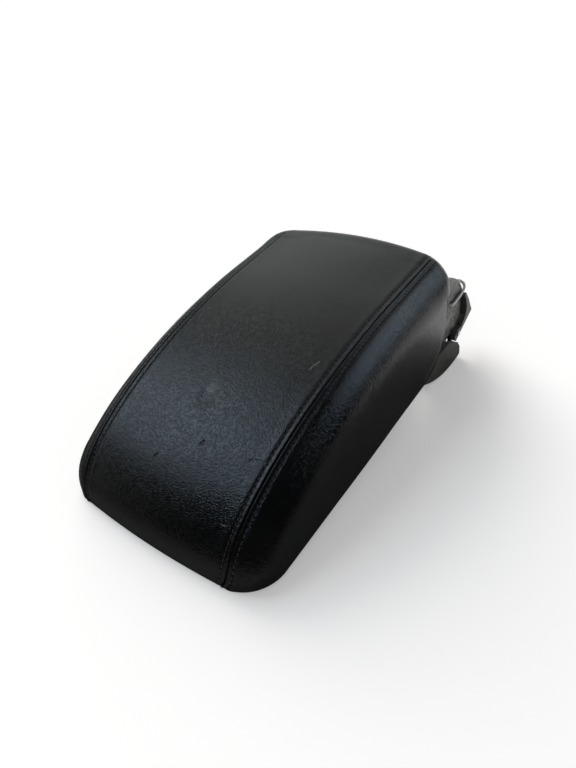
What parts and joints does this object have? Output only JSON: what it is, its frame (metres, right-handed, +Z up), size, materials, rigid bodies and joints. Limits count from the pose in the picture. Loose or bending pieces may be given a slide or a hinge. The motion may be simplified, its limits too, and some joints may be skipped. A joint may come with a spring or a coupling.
{
  "type": "car armrest",
  "caption": "Leather-covered centre armrest lid for a car, with a padded top, twin stitched seams and a sprung rear hinge that bolts to the console.",
  "frame": {"origin": "middle of the four bolt holes of the hinge bracket, on the lower face of its foot, straight below the hinge axis", "axes": "+Z up from the surface that the part stands on, +Y to the rear of the car, +X to the right side; the lid reaches towards -Y"},
  "size_m": [0.1742, 0.2894, 0.0967],
  "materials": {
    "leather": "grained, semi-matt, worn",
    "foam": "moulded foam",
    "shell_plastic": "moulded, ribbed",
    "panel_plastic": "fine moulded grain",
    "guard_plastic": "moulded, satin",
    "bracket_steel": "phosphated, greased",
    "arm_steel": "zinc plated",
    "bright_steel": "bright",
    "spring_steel": "greased wire",
    "nylon": "natural",
    "rubber": "moulded"
  },
  "bodies": {
    "bracket": {"hinge_bracket": "bracket_steel", "hinge_pin": "bright_steel", "spacer_left": "nylon", "spacer_right": "nylon", "torsion_spring_left": "spring_steel", "torsion_spring_right": "spring_steel", "push_nut_left": "bright_steel", "push_nut_right": "bright_steel", "rear_guard_left": "guard_plastic", "rear_guard_right": "guard_plastic", "end_cover_left": "guard_plastic", "end_cover_right": "guard_plastic", "guard_rivet_left": "bright_steel", "guard_rivet_right": "bright_steel", "cover_screw_1": "bright_steel", "cover_screw_2": "bright_steel", "cover_screw_3": "bright_steel", "cover_screw_4": "bright_steel"},
    "lid": {"cover_top_panel": "leather", "cover_left_panel": "leather", "cover_right_panel": "leather", "foam_pad": "foam", "pad_shell": "shell_plastic", "base_panel": "panel_plastic", "panel_screw_1": "bright_steel", "panel_screw_2": "bright_steel", "panel_screw_3": "bright_steel", "panel_screw_4": "bright_steel", "panel_screw_5": "bright_steel", "panel_screw_6": "bright_steel", "bumper_left": "rubber", "bumper_right": "rubber", "arm_left": "arm_steel", "arm_right": "arm_steel", "arm_brace": "arm_steel", "arm_bush_left": "nylon", "arm_bush_right": "nylon", "arm_screw_1": "bright_steel", "arm_screw_2": "bright_steel", "arm_screw_3": "bright_steel", "arm_screw_4": "bright_steel"}
  },
  "joints": [
    {"name": "lid_hinge", "type": "hinge", "parent": "bracket", "child": "lid", "pos_m": [0, 0, 0.04], "axis": [-1, 0, 0], "range_deg": [0, 68], "deforming": ["torsion_spring_left", "torsion_spring_right"]}
  ]
}
